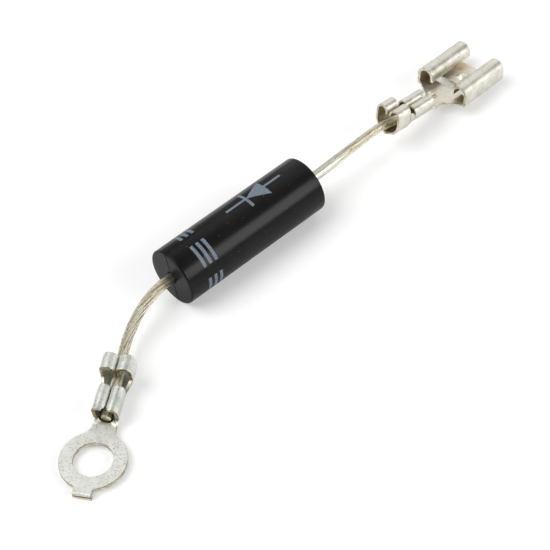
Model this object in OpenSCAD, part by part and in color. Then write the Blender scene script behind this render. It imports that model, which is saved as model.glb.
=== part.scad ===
// High-voltage rectifier diode with a crimped terminal on each lead.
// Millimetres, +Z up. The origin is the centre of the ring terminal's screw hole, on the
// ring's underside. The body's axis runs along X: the cathode lead leaves it towards -X for
// the ring terminal, the anode lead towards +X for the tab receptacle. The part lies on the
// body and on the bent lug of the ring terminal.

/* [Moulded body] */
// Diameter of the moulded body
body_d = 7.5; // [6.5:0.1:9]
// Length of the moulded body
body_length = 21.9; // [18:0.1:26]
// Radius on the two moulded rims
body_edge_r = 0.2; // [0.1:0.05:0.5]

/* [Die stack] */
// Number of silicon dies soldered in series
die_count = 12; // [6:1:14]
// Side of one square die
die_side = 1.8; // [1.2:0.1:1.9]
// Thickness of one die
die_t = 0.3; // [0.2:0.02:0.4]
// Thickness of one solder layer
solder_t = 0.08; // [0.04:0.01:0.12]
// Diameter of an electrode
electrode_d = 2.8; // [2.7:0.1:3.4]
// Thickness of an electrode between the stack and the lead
electrode_face_t = 0.8; // [0.4:0.1:1.5]
// Depth of the cup in which a lead is soldered
cup_depth = 2.5; // [1:0.1:3]
// Diameter of the junction coating
coating_d = 4.2; // [3.8:0.1:5]
// Length by which the coating laps over each electrode
coating_lap = 0.5; // [0.2:0.1:0.8]

/* [Leads] */
// Diameter of a stranded lead
lead_d = 1.35; // [1.1:0.05:1.5]
// Diameter of the strands where a wire barrel presses them together
crimped_d = 1.2; // [1:0.05:1.3]
// Sideways shift of the cathode lead where it enters the ring terminal
ring_lead_shift = 0.2; // [-0.3:0.05:0.3]
// Sideways shift of the anode lead where it enters the receptacle
receptacle_lead_shift = -0.35; // [-0.35:0.05:0.35]
// Length of strands that shows past the ring terminal's wire barrel
ring_stub = 0.1; // [0:0.05:0.3]
// Length of strands that shows past the receptacle's wire barrel
receptacle_stub = 0.5; // [0:0.05:0.6]

/* [Ring terminal] */
// Thickness of the ring terminal's sheet
ring_t = 0.55; // [0.4:0.05:0.65]
// Outside diameter of the ring
ring_od = 7.8; // [7:0.1:10]
// Diameter of the screw hole
ring_hole_d = 4.6; // [3.7:0.1:5.3]
// Distance from the hole's centre to the end of the flat neck
ring_neck_end = 4.5; // [4.4:0.1:6]
// Width of the neck
ring_neck_w = 2.8; // [2:0.1:3]
// Radius of the fillets between ring and neck
ring_fillet_r = 1.5; // [0.8:0.1:2]
// Width of the lug at the tip
lug_w = 2.2; // [1.5:0.1:3]
// Length of the lug past the ring
lug_l = 0.8; // [0.6:0.1:2]
// Height of the ring's underside over the surface that the lug stands on
ring_lift = 0.4; // [0.3:0.05:1]
// Radius of the lug's bent edge
lug_bend_r = 0.2; // [0.1:0.05:0.4]
// Thickness of the foot that is set down at the lug's tip
lug_foot_t = 0.45; // [0.4:0.05:0.7]
// Distance along X from the body's end to the hole
ring_reach = 22.2; // [21:0.1:30]
// Distance sideways from the body's axis to the hole
ring_side = 12.1; // [6:0.1:16]
// Angle from X to the ring terminal's length
ring_yaw = 35.2; // [20:0.2:50]
// Angle by which the barrels rise from the ring's plane
ring_rise = 5; // [0:0.5:10]
// Width of the wire barrel
ring_wire_barrel_w = 3.1; // [2.9:0.05:3.6]
// Length of the wire barrel's edges turned down along the seam
ring_wire_edge_l = 0.27; // [0.05:0.01:0.5]
// Length of the wire barrel
ring_wire_barrel_l = 3.4; // [2.5:0.1:5]
// Width of the insulation barrel
ring_grip_w = 3.85; // [3.5:0.05:4.5]
// Length of the insulation barrel's edges turned down along the seam
ring_grip_edge_l = 0.75; // [0.1:0.05:1]
// Length of the insulation barrel
ring_grip_l = 2.1; // [1.5:0.1:3]
// Length of the web between the two barrels
ring_web_l = 1.7; // [1:0.1:2.5]
// Drop of the wire barrel below the ring's underside
ring_barrel_drop = 0.3; // [0.1:0.05:0.4]
// Drop of the insulation barrel below the wire barrel
ring_grip_drop = 0.2; // [0.1:0.05:0.4]

/* [Tab receptacle] */
// Thickness of the receptacle's sheet
receptacle_t = 0.4; // [0.3:0.05:0.5]
// Width over the two rolls
roll_w = 8.1; // [7.5:0.1:8.7]
// Height of the rolls over the underside
roll_h = 2.9; // [2.6:0.05:3.2]
// Outer radius of a roll
roll_r = 1.24; // [1:0.02:1.4]
// Length of the rolls
roll_l = 8.2; // [6.5:0.1:10]
// Outer radius of the bend between floor and wall
floor_bend_r = 0.5; // [0.45:0.05:0.8]
// Room for the tab between the floor and the rolled edges
tab_room = 0.8; // [0.7:0.05:0.9]
// Length along X of the slot across the floor
slot_l = 0.85; // [0.4:0.05:1]
// Distance from the near end of the rolls to the slot
slot_x = 1.7; // [1.2:0.1:2.5]
// Width of the slot
slot_w = 5.4; // [4:0.1:6]
// Distance from the near end of the rolls to the detent
detent_x = 4.9; // [4.2:0.1:5.5]
// Radius of the detent
detent_r = 0.85; // [0.5:0.05:0.9]
// Height of the detent
detent_h = 0.25; // [0.15:0.05:0.3]
// Length by which the floor stops short of the mouth
mouth_cut = 0.8; // [0.3:0.1:1]
// Length of the flat neck
receptacle_neck_l = 2.5; // [2:0.1:3.5]
// Length of the neck before it widens
receptacle_neck_straight = 0.9; // [0.5:0.1:1.5]
// Width of the neck at the barrels
receptacle_neck_w = 2.6; // [2:0.1:2.8]
// Distance along X from the body's end to the barrels' end of the neck
receptacle_reach = 22.9; // [21:0.1:32]
// Distance sideways from the body's axis to the barrels' end of the neck
receptacle_side = 0.35; // [-1:0.05:1]
// Height of the body's axis over the barrels' end of the neck
receptacle_sink = 2; // [1.2:0.1:2.2]
// Angle from X to the receptacle's length
receptacle_yaw = 5; // [-6:0.5:8]
// Angle by which the receptacle points down
receptacle_pitch = 5.5; // [2:0.5:6]
// Angle by which the barrels rise from the receptacle's plane
receptacle_rise = 3.5; // [0:0.5:8]
// Angle by which the barrels are bent sideways
receptacle_bend = 2; // [-4:0.5:4]
// Width of the wire barrel
receptacle_wire_barrel_w = 3.1; // [2.9:0.05:3.5]
// Length of the wire barrel's edges turned down along the seam
receptacle_wire_edge_l = 0.06; // [0.05:0.01:0.5]
// Length of the wire barrel
receptacle_wire_barrel_l = 3.8; // [3:0.1:5]
// Width of the insulation barrel
receptacle_grip_w = 3.85; // [3.5:0.05:4.5]
// Length of the insulation barrel's edges turned down along the seam
receptacle_grip_edge_l = 0.1; // [0.1:0.05:0.8]
// Length of the insulation barrel
receptacle_grip_l = 2.3; // [1.5:0.1:3]
// Gap between the curled edges of the insulation barrel
receptacle_grip_seam = 0.3; // [0.1:0.05:0.6]
// Room between the lead and the curled edges of the insulation barrel
receptacle_grip_room = 1; // [0.1:0.1:1.3]
// Length of the web between the two barrels
receptacle_web_l = 1.6; // [1:0.1:2.5]
// Drop of the wire barrel below the receptacle's underside
receptacle_barrel_drop = 0.3; // [0.1:0.05:0.4]
// Drop of the insulation barrel below the wire barrel
receptacle_grip_drop = 0.15; // [0.1:0.05:0.4]

/* [Hidden] */
$fn = 64;

// Clearance between pieces that fit into one another
fit_gap = 0.02;
// Gap between curled edges that are pressed together
seam = 0.04;
// Length over which a flat neck turns into a trough
neck_turn_l = 1;

die_names = [for (i = [1:die_count]) str("silicon_die_", i)];
solder_names = [for (i = [1:die_count + 1]) str("solder_layer_", i)];

end_x = body_length / 2;
stack_l = die_count * die_t + (die_count + 1) * solder_t;
electrode_l = electrode_face_t + cup_depth;
cup_floor_x = stack_l / 2 + electrode_face_t;

// The two crimps, each from the end of a flat neck towards the incoming lead:
// sheet, neck width, wire barrel, web, insulation barrel, the drops between them, and how
// the barrels rise and bend away from the neck
ring_crimp = [ring_t, ring_neck_w, ring_wire_barrel_w, ring_wire_edge_l, ring_wire_barrel_l, ring_web_l,
    ring_grip_w, ring_grip_edge_l, ring_grip_l, seam, ring_barrel_drop, ring_grip_drop, fit_gap,
    ring_rise, 0];
receptacle_crimp = [receptacle_t, receptacle_neck_w, receptacle_wire_barrel_w, receptacle_wire_edge_l,
    receptacle_wire_barrel_l, receptacle_web_l, receptacle_grip_w, receptacle_grip_edge_l, receptacle_grip_l,
    receptacle_grip_seam, receptacle_barrel_drop, receptacle_grip_drop, receptacle_grip_room, receptacle_rise,
    receptacle_bend];

// Length of a crimp, and the height of the lead's axis in it over the neck's underside
function crimp_length(c) = neck_turn_l + c[4] + c[5] + c[8];
function crimp_axis_z(c) = c[0] + fit_gap + crimped_d / 2 - c[10];

// Turns of a point about Y and about Z
function turn_y(p, a) = [p.x * cos(a) + p.z * sin(a), p.y, p.z * cos(a) - p.x * sin(a)];
function turn_z(p, a) = [p.x * cos(a) - p.y * sin(a), p.x * sin(a) + p.y * cos(a), p.z];

// Middle of the body, and the barrels' end of the receptacle's neck
body_pos = [ring_reach + end_x, ring_side, body_d / 2 - ring_lift];
receptacle_pos = body_pos + [end_x + receptacle_reach, receptacle_side, -receptacle_sink];

// A point on a crimp, given from the end of its neck, placed with its terminal
function on_neck(c, p, k) = turn_z(turn_y(p, -k * c[13]), -k * c[14]);
function on_ring_crimp(p) = turn_z([ring_neck_end, 0, 0] + on_neck(ring_crimp, p, 1), ring_yaw);
function on_receptacle_crimp(p) = receptacle_pos
    + turn_z(turn_y(turn_z(on_neck(receptacle_crimp, p, 1), 180), receptacle_pitch), receptacle_yaw);

// Smooth step from 0 to 1
function ease(k) = k * k * (3 - 2 * k);

// Skin over a list of sections, each a closed loop of as many points. The two ends are
// closed by strips between the points of one half of the loop and those of the other
module skin(sections) {
    m = len(sections[0]);
    n = len(sections);
    e = (n - 1) * m;
    polyhedron(
        points = [for (s = sections) each s],
        faces = concat(
            [for (j = [0:m / 2 - 2]) each [[j, j + 1, m - 2 - j], [j, m - 2 - j, m - 1 - j]]],
            [for (i = [0:n - 2], j = [0:m - 1])
                each [[(i + 1) * m + j, (i + 1) * m + (j + 1) % m, i * m + j],
                      [(i + 1) * m + (j + 1) % m, i * m + (j + 1) % m, i * m + j]]],
            [for (j = [0:m / 2 - 2])
                each [[e + m - 2 - j, e + j + 1, e + j], [e + m - 1 - j, e + m - 2 - j, e + j]]]
        )
    );
}

// Section of a bent strip across X: half_w is half its flat width, bow its curvature at
// mid-sheet and z the height of its lowest line. The strip is thinner than the sheet by the
// inset on each face, so that its ends sink into the pieces of sheet that it joins
strip_steps = 12;
inset = 0.02;
sink = 0.25;
function strip_point(u, bow, off) = bow == 0
    ? [u, off]
    : let (a = u * bow * 180 / PI, r = 1 / bow - off) [r * sin(a), 1 / bow - r * cos(a)];
function strip_section(x, z, half_w, bow, t) = [
    for (side = [-1, 1], i = [0:strip_steps])
        let (u = side * (half_w - inset) * (1 - 2 * i / strip_steps))
        let (p = strip_point(u, bow, side * (t / 2 - inset)))
        [x, p.x, z + t / 2 + p.y]
];

// Curvature at mid-sheet of the trough under a barrel of width w
function trough_bow(w, t) = 1 / (w / 2 - t / 2);

module half_ring(r, t) {
    intersection() {
        difference() {
            circle(r);
            circle(r - t);
        }
        translate([-r, 0]) square([2 * r, r]);
    }
}

// Section of a crimped barrel, standing on its trough: two wings rise from a round
// trough, curl over and turn down beside the seam, by edge_l, to the height edge_z
module barrel_section(w, t, gap, edge_l, edge_z) {
    curl_r = (w - gap) / 4;
    curl_z = max(edge_z + t / 2 + edge_l, w / 2 + t / 10);
    translate([0, w / 2]) mirror([0, 1]) half_ring(w / 2, t);
    for (side = [0, 1]) mirror([side, 0]) {
        translate([w / 2 - t, w / 2]) square([t, curl_z - w / 2]);
        translate([w / 2 - curl_r, curl_z]) half_ring(curl_r, t);
        translate([gap / 2, edge_z + t / 2]) square([t, curl_z - edge_z - t / 2]);
        translate([gap / 2 + t / 2, edge_z + t / 2]) circle(t / 2);
    }
}

// Barrel of length l along +X from x, on a trough whose underside is at z
module barrel(x, z, l, w, t, gap, edge_l, edge_z) {
    translate([x, 0, z]) rotate([90, 0, 90]) linear_extrude(l) barrel_section(w, t, gap, edge_l, edge_z);
}

// A whole crimp: the neck turns into a trough, the wire barrel closes on the strands,
// an open web follows, and the insulation barrel curls round the lead behind it
turn_steps = 5;
web_flange = 90;
module crimp(c) {
    t = c[0];
    wire_x = neck_turn_l;
    web_x = wire_x + c[4];
    grip_x = web_x + c[5];
    wire_z = -c[10];
    grip_z = wire_z - c[11];
    wire_bow = trough_bow(c[2], t);
    grip_bow = trough_bow(c[6], t);
    skin([for (i = [-1:turn_steps + 1])
        let (k = ease(max(0, min(1, i / turn_steps))))
        let (x = i < 0 ? -sink : i > turn_steps ? wire_x + sink : i / turn_steps * wire_x)
        [for (p = strip_section(x, k * wire_z, c[1] / 2, k * wire_bow, t)) on_neck(c, p, k)]]);
    rotate([0, -c[13], -c[14]]) {
        barrel(wire_x, wire_z, c[4], c[2], t, seam, c[3], t + 2 * fit_gap + crimped_d);
        skin([for (i = [-1:turn_steps + 1])
            let (k = max(0, min(1, i / turn_steps)), bow = wire_bow + (grip_bow - wire_bow) * k)
            let (x = i < 0 ? web_x - sink : i > turn_steps ? grip_x + sink : web_x + k * c[5])
            let (flange = web_flange - 24 * k * (1 - k))
            strip_section(x, wire_z - ease(k) * c[11], flange * PI / 180 / bow, bow, t)]);
        barrel(grip_x, grip_z, c[8], c[6], t, c[9], c[7], crimp_axis_z(c) - grip_z + lead_d / 2 + c[12]);
    }
}

// Tube along a list of [point, radius], whose rings stand upright
lead_sides = 16;
function unit(v) = v / norm(v);
function lead_ring(p, ahead, r) = let (side = unit(cross([0, 0, 1], ahead)), up = cross(unit(ahead), side))
    [for (j = [0:lead_sides - 1]) let (a = 360 * j / lead_sides) p + r * (cos(a) * side + sin(a) * up)];
module lead_tube(route) {
    last = len(route) - 1;
    skin([for (i = [0:last]) lead_ring(
        route[i][0],
        route[min(i + 1, last)][0] - route[max(i - 1, 0)][0],
        route[i][1])]);
}

// Smooth curve from a to d that leaves a towards b and reaches d from c
lead_steps = 12;
function bend(a, b, c, d, k) =
    (1 - k) ^ 3 * a + 3 * (1 - k) ^ 2 * k * b + 3 * (1 - k) * k ^ 2 * c + k ^ 3 * d;

// Route of a lead along a crimp, from the insulation barrel to the rounded end of the strands
function crimp_route(c, shift, stub) = let (z = crimp_axis_z(c), wire_x = neck_turn_l, web_x = wire_x + c[4])
    [[[crimp_length(c), shift, z], lead_d / 2],
     [[web_x + c[5], 0, z], lead_d / 2],
     [[web_x, 0, z], crimped_d / 2],
     [[wire_x, 0, z], crimped_d / 2],
     [[wire_x - stub / 2, 0, z], crimped_d * 0.45],
     [[wire_x - stub - crimped_d / 10, 0, z], crimped_d * 0.3]];

// Distance over which each lead keeps its direction at the body and at its terminal
cathode_hold = [1.5, 8.5];
anode_hold = [5.9, 1.7];

cathode_tail = [for (r = crimp_route(ring_crimp, ring_lead_shift, ring_stub)) [on_ring_crimp(r[0]), r[1]]];
anode_tail = [for (r = crimp_route(receptacle_crimp, receptacle_lead_shift, receptacle_stub))
    [on_receptacle_crimp(r[0]), r[1]]];

// Route of a lead: straight out of its cup and the body, in a curve through the air,
// and along the crimp. side is -1 at the cathode and 1 at the anode
function lead_route(side, hold, tail) = let (
    start = body_pos + [side * (cup_floor_x + fit_gap), 0, 0],
    exit = body_pos + [side * end_x, 0, 0],
    leaving = exit + [side * hold[0], 0, 0],
    entry = tail[0][0],
    reaching = entry - hold[1] * unit(tail[1][0] - entry))
    concat(
        [[start, lead_d / 2]],
        [for (i = [0:lead_steps - 1]) [bend(exit, leaving, reaching, entry, i / lead_steps), lead_d / 2]],
        tail);

// Cylinder along X on the body's axis, from x0 to x1 as measured from its middle
module axial(d, x0, x1) {
    translate([x0, 0, 0]) rotate([0, 90, 0]) cylinder(d = d, h = x1 - x0);
}

// Square prism along X on the body's axis
module axial_square(side, x0, x1) {
    translate([x0, -side / 2, -side / 2]) cube([x1 - x0, side, side]);
}

// Moulded over the stack, the electrodes and the roots of the leads
module epoxy_body() {
    coat_x = stack_l / 2 + coating_lap + fit_gap;
    electrode_x = stack_l / 2 + electrode_l + fit_gap;
    color("#1b1c1d") translate(body_pos) difference() {
        rotate([0, 90, 0]) rotate_extrude() {
            translate([0, -end_x]) square([body_d / 2 - body_edge_r, body_length]);
            translate([0, body_edge_r - end_x]) square([body_d / 2, body_length - 2 * body_edge_r]);
            for (side = [-1, 1])
                translate([body_d / 2 - body_edge_r, side * (end_x - body_edge_r)]) circle(body_edge_r);
        }
        axial(coating_d + 2 * fit_gap, -coat_x, coat_x);
        axial(electrode_d + 2 * fit_gap, -electrode_x, electrode_x);
        axial(lead_d + 2 * fit_gap, -end_x - 1, end_x + 1);
    }
}

// Resin that seals the edges of the dies, lapped over both electrodes
module junction_coating() {
    coat_x = stack_l / 2 + coating_lap;
    color("#c9b37a") translate(body_pos) difference() {
        axial(coating_d, -coat_x, coat_x);
        axial_square(die_side + 2 * fit_gap, -coat_x, coat_x);
        axial(electrode_d + 2 * fit_gap, -coat_x - 1, -stack_l / 2);
        axial(electrode_d + 2 * fit_gap, stack_l / 2, coat_x + 1);
    }
}

// Turned slug between the stack and a lead, with the cup that the lead is soldered into
module electrode() {
    color("#b87333") difference() {
        axial(electrode_d, stack_l / 2, stack_l / 2 + electrode_l);
        axial(lead_d + 2 * fit_gap, cup_floor_x, stack_l / 2 + electrode_l + 1);
    }
}

module cathode_electrode() {
    translate(body_pos) mirror([1, 0, 0]) electrode();
}

module anode_electrode() {
    translate(body_pos) electrode();
}

// Die i of the stack, counted from the cathode
module silicon_die(i) {
    x = (i - 1) * (die_t + solder_t) + solder_t - stack_l / 2;
    color("#6f7378") translate(body_pos) axial_square(die_side, x, x + die_t);
}

// Solder layer i of the stack, on the cathode's side of die i
module solder_layer(i) {
    x = (i - 1) * (die_t + solder_t) - stack_l / 2;
    color("#a9abad") translate(body_pos) axial_square(die_side, x, x + solder_t);
}

module cathode_lead() {
    color("#c8c3b2") lead_tube(lead_route(-1, cathode_hold, cathode_tail));
}

module anode_lead() {
    color("#c8c3b2") lead_tube(lead_route(1, anode_hold, anode_tail));
}

// Flat outline of the ring and its neck, with the hole at the origin
module ring_outline() {
    r = ring_od / 2;
    fillet_y = ring_neck_w / 2 + ring_fillet_r;
    fillet_x = sqrt((r + ring_fillet_r) ^ 2 - fillet_y ^ 2);
    touch = r / (r + ring_fillet_r) * [fillet_x, fillet_y];
    difference() {
        union() {
            circle(r);
            translate([0, -ring_neck_w / 2]) square([ring_neck_end, ring_neck_w]);
            translate([lug_bend_r - r - lug_l, -lug_w / 2]) square([r + lug_l, lug_w]);
            for (side = [0, 1]) mirror([0, side]) difference() {
                intersection() {
                    polygon([[0, 0], [fillet_x, 0], [fillet_x, fillet_y], touch]);
                    square([ring_neck_end, r]);
                }
                translate([fillet_x, fillet_y]) circle(ring_fillet_r);
            }
        }
        circle(d = ring_hole_d);
    }
}

// Foot at the lug's tip, set down so that its cut end stands on the surface
module lug_foot() {
    translate([-ring_od / 2 - lug_l, lug_w / 2, 0]) rotate([90, 0, 0]) linear_extrude(lug_w) {
        translate([lug_bend_r, ring_t - lug_bend_r]) circle(lug_bend_r);
        translate([0, -ring_lift]) square([lug_foot_t, ring_lift + ring_t - lug_bend_r]);
    }
}

module ring_terminal() {
    color("#c9cac6") rotate([0, 0, ring_yaw]) {
        linear_extrude(ring_t) ring_outline();
        lug_foot();
        translate([ring_neck_end, 0, 0]) crimp(ring_crimp);
    }
}

// Section of the receptacle across its length: a floor, two walls, and a roll on each
// wall whose free edge presses on the tab
module roll_section() {
    roll_y = roll_w / 2 - roll_r;
    roll_z = roll_h - roll_r;
    edge_z = receptacle_t + tab_room;
    for (side = [0, 1]) mirror([side, 0]) {
        square([roll_w / 2 - floor_bend_r, receptacle_t]);
        translate([roll_w / 2 - floor_bend_r, floor_bend_r]) intersection() {
            mirror([0, 1]) half_ring(floor_bend_r, receptacle_t);
            translate([0, -floor_bend_r]) square(floor_bend_r);
        }
        translate([roll_w / 2 - receptacle_t, floor_bend_r]) square([receptacle_t, roll_z - floor_bend_r]);
        translate([roll_y, roll_z]) half_ring(roll_r, receptacle_t);
        translate([roll_y - roll_r, edge_z]) square([receptacle_t, roll_z - edge_z]);
    }
}

// Flat neck that widens from the barrels to the rolls
module receptacle_neck() {
    narrow = receptacle_neck_w / 2;
    wide = roll_w / 2 - floor_bend_r;
    linear_extrude(receptacle_t) polygon([
        [0, -narrow], [receptacle_neck_straight, -narrow], [receptacle_neck_l, -wide],
        [receptacle_neck_l, wide], [receptacle_neck_straight, narrow], [0, narrow]]);
}

module receptacle_rolls() {
    floor_w = roll_w - 2 * floor_bend_r;
    bump_r = (detent_r ^ 2 + detent_h ^ 2) / (2 * detent_h);
    difference() {
        rotate([90, 0, 90]) linear_extrude(roll_l) roll_section();
        translate([slot_x, -slot_w / 2, -1]) cube([slot_l, slot_w, receptacle_t + 1.1]);
        translate([roll_l - mouth_cut, -floor_w / 2, -1]) cube([mouth_cut + 1, floor_w, receptacle_t + 1.1]);
    }
    intersection() {
        translate([detent_x, 0, receptacle_t + detent_h - bump_r]) sphere(bump_r);
        translate([detent_x - detent_r, -detent_r, receptacle_t / 2])
            cube([2 * detent_r, 2 * detent_r, roll_h]);
    }
}

module receptacle_terminal() {
    color("#d3d2cc") translate(receptacle_pos) rotate([0, receptacle_pitch, receptacle_yaw]) {
        rotate([0, 0, 180]) crimp(receptacle_crimp);
        receptacle_neck();
        translate([receptacle_neck_l, 0, 0]) receptacle_rolls();
    }
}

epoxy_body();
junction_coating();
cathode_electrode();
anode_electrode();
cathode_lead();
anode_lead();
ring_terminal();
receptacle_terminal();
for (i = [1:die_count]) silicon_die(i);
for (i = [1:die_count + 1]) solder_layer(i);
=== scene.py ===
import math

import bmesh
import bpy
from mathutils import Matrix, Vector, noise


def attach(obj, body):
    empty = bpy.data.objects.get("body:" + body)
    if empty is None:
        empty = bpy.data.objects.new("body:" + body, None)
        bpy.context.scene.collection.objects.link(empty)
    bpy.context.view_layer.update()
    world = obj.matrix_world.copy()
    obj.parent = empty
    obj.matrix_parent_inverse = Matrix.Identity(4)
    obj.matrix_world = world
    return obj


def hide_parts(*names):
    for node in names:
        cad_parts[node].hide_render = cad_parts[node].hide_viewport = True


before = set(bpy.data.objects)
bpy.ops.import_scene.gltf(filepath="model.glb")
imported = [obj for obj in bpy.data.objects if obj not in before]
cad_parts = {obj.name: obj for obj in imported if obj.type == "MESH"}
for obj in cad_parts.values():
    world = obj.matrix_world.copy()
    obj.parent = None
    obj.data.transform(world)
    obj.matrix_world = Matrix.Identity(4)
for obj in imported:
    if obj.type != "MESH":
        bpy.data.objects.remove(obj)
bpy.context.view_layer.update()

# Camera
# A long lens looks down on the diode from the ring terminal's end, turned a little on its side.
# Its place is measured from the middle of the body. Lengths in this file are in millimetres.
MM = 0.001
body_middle = Vector((33.15, 12.1, 3.35))


def in_scene(name, data):
    """A new object in the scene."""
    thing = bpy.data.objects.new(name, data)
    bpy.context.scene.collection.objects.link(thing)
    return thing


azimuth, elevation, roll = (math.radians(a) for a in (-39.31, 48.86, -4.59))
away, aside, lowered = 195.77, 4.30, 5.55
back = Vector((math.sin(azimuth) * math.cos(elevation),
               -math.cos(azimuth) * math.cos(elevation),
               math.sin(elevation)))
level = Vector((math.cos(azimuth), math.sin(azimuth), 0))
right = level * math.cos(roll) + back.cross(level) * math.sin(roll)
upward = back.cross(right)
stand = body_middle + back * away + right * aside - upward * lowered
camera = in_scene("camera", bpy.data.cameras.new("camera"))
camera.data.lens = 104.73
camera.data.sensor_width = 36
camera.data.clip_start = 5 * MM
turned = Matrix((right, upward, back)).transposed().to_4x4()
camera.matrix_world = Matrix.Translation(stand * MM) @ turned
bpy.context.scene.camera = camera
bpy.context.scene.view_settings.view_transform = "Standard"

# Die stack
# Silicon dies soldered one on another between two copper slugs, with their edges sealed in resin.
# All of it is moulded into the body, so the solids stay as they are and only get their materials.


def linear(hex_colour):
    """A colour written as sRGB hex, as the linear colour that a socket takes."""
    channels = [int(hex_colour[i:i + 2], 16) / 255 for i in (1, 3, 5)]
    return [c / 12.92 if c <= 0.04045 else ((c + 0.055) / 1.055) ** 2.4 for c in channels] + [1]


def plug(node, sockets):
    """Gives each socket of a node a value, or links it to an output or to the first output of a node."""
    for name, value in sockets.items():
        if isinstance(value, bpy.types.Node):
            value = value.outputs[0]
        if isinstance(value, bpy.types.NodeSocket):
            node.id_data.links.new(value, node.inputs[name])
        else:
            node.inputs[name].default_value = value


def put(tree, kind, sockets=None, steps=(), **settings):
    """Adds a node with its settings and links, its kind given without the start of the type's name. A ramp
    gets its steps, each a place and a hex colour."""
    starts = ("ShaderNode", "GeometryNode", "FunctionNode", "Node")
    node = tree.nodes.new(next(start + kind for start in starts if hasattr(bpy.types, start + kind)))
    for name, value in settings.items():
        setattr(node, name, value)
    plug(node, sockets or {})
    if steps:
        elements = node.color_ramp.elements
        while len(elements) < len(steps):
            elements.new(1)
        for element, (at, colour) in zip(elements, steps):
            element.position = at
            element.color = linear(colour)
    return node


def new_material(name, **sockets):
    """A material named for the real one, its node tree, its shader and its place on the object."""
    material = bpy.data.materials.new(name)
    material.use_nodes = True
    shader = material.node_tree.nodes["Principled BSDF"]
    plug(shader, {socket.replace("_", " "): value for socket, value in sockets.items()})
    place = put(material.node_tree, "TexCoord").outputs["Object"]
    return material, material.node_tree, shader, place


def clouded(name, patch, detail, *steps, **sockets):
    """A material whose colour clouds over patches of a size in mm."""
    material, tree, shader, place = new_material(name, **sockets)
    cloud = put(tree, "TexNoise", {"Vector": place, "Scale": 1 / (patch * MM), "Detail": detail})
    plug(shader, {"Base Color": put(tree, "ValToRGB", {"Fac": cloud}, steps)})
    return material


def tool_marked(name, spacing, direction, wander, *steps, **sockets):
    """A metal with parallel tool marks at a spacing in mm. A wave texture turns by 20 radians in a unit."""
    material, tree, shader, place = new_material(name, **sockets)
    scale = math.tau / (20 * spacing * MM)
    marks = put(tree, "TexWave", {"Vector": place, "Scale": scale, "Distortion": wander},
                bands_direction=direction)
    plug(shader, {"Base Color": put(tree, "ValToRGB", {"Fac": marks.outputs["Fac"]}, steps)})
    return material


# Sawn silicon: dark blue grey with a dull metal lustre and fine parallel saw marks, about 0.2 mm apart.
silicon = tool_marked("sawn_silicon", 0.19792, "Z", 1.5, (0, "#4f545b"), (1, "#666c74"),
                      Metallic=0.6, Roughness=0.35)

# Soft solder: dull grey metal whose colour clouds over patches of about 0.3 mm.
solder = clouded("soft_solder", 0.3, 2.0, (0.3, "#8f9193"), (0.7, "#b6b7b8"), Metallic=1.0, Roughness=0.45)

# Turned copper: warm red metal with the lathe's rings, about 0.3 mm apart along the axis.
copper = tool_marked("turned_copper", 0.29688, "X", 0.5, (0, "#b06a45"), (1, "#c98a63"),
                     Metallic=1.0, Roughness=0.3)

# Cured junction resin: glossy tan varnish that pools unevenly, in patches of about 0.8 mm.
resin = clouded("junction_resin", 0.8, 2.0, (0.3, "#b79c5d"), (0.7, "#cdb987"), Roughness=0.3, IOR=1.5)

finishes = {"silicon_die": silicon, "solder_layer": solder, "junction_coating": resin,
            "cathode_electrode": copper, "anode_electrode": copper}
for name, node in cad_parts.items():
    for start, material in finishes.items():
        if name.startswith(start):
            node.data.materials.clear()
            node.data.materials.append(material)

# Leads
# Two short, stiff leads of fine tinned copper strands, bunched and twisted together with a long lay.
# Each is soldered into its slug, leaves the middle of an end face and ends in its terminal's crimp;
# the anode lead's root was dipped in solder, so that its strands are filled over for some 7 mm.
lead_d = 1.35
crimped_d = 1.2
body_half = 10.95
slug_floor = 3.14
fit = 0.02

# A crimp, from the end of the terminal's neck to the lead: its sheet, how far its trough lies under the neck,
# and the angles at which it rises and bends away. Then lengths: the neck's turn, with the share of it that
# stays flat; the wire barrel, with its width and the straight ends of its wings; the web, with the angle by
# which its flanges pass a half round; and the insulation barrel, with its width, its straight ends, the gap
# between its wings, their room over the lead and its drop under the wire barrel.
ring_crimp = {"sheet": 0.55, "drop": 0.3, "rise": 5.0, "bend": 0.0, "turn": 1.0, "flat": 0.25,
              "wire": 3.4, "wire_w": 3.1, "wire_edge": 0.27, "web": 1.7, "crest": -6, "grip": 2.1,
              "grip_w": 3.85, "grip_edge": 0.75, "grip_gap": 0.09, "grip_room": 0.02, "grip_drop": 0.2}
tab_crimp = {"sheet": 0.40, "drop": 0.3, "rise": 3.5, "bend": 2.0, "turn": 1.0, "flat": 0.0,
             "wire": 3.8, "wire_w": 3.1, "wire_edge": 0.06, "web": 1.6, "crest": 26, "grip": 2.3,
             "grip_w": 3.85, "grip_edge": 0.1, "grip_gap": 0.3, "grip_room": 1.0, "grip_drop": 0.15}
neck_end = 4.5
ring_seat = Matrix.Rotation(math.radians(35.2), 4, "Z")
ring_neck_seat = ring_seat @ Matrix.Translation((neck_end, 0, 0))
tab_seat = (Matrix.Translation((67.0, 12.45, 1.35)) @ Matrix.Rotation(math.radians(5), 4, "Z")
            @ Matrix.Rotation(math.radians(5.5), 4, "Y"))
tab_neck_seat = tab_seat @ Matrix.Rotation(math.pi, 4, "Z")


def crimp_tilt(crimp, share=1.0):
    """How a crimp turns away from the plane of its terminal's neck, or a share of that turn."""
    return (Matrix.Rotation(math.radians(-share * crimp["bend"]), 4, "Z")
            @ Matrix.Rotation(math.radians(-share * crimp["rise"]), 4, "Y"))


def strand_height(crimp):
    """Height of the middle of the crimped strands over the underside of the neck."""
    return crimp["sheet"] + fit + crimped_d / 2 - crimp["drop"]


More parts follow.
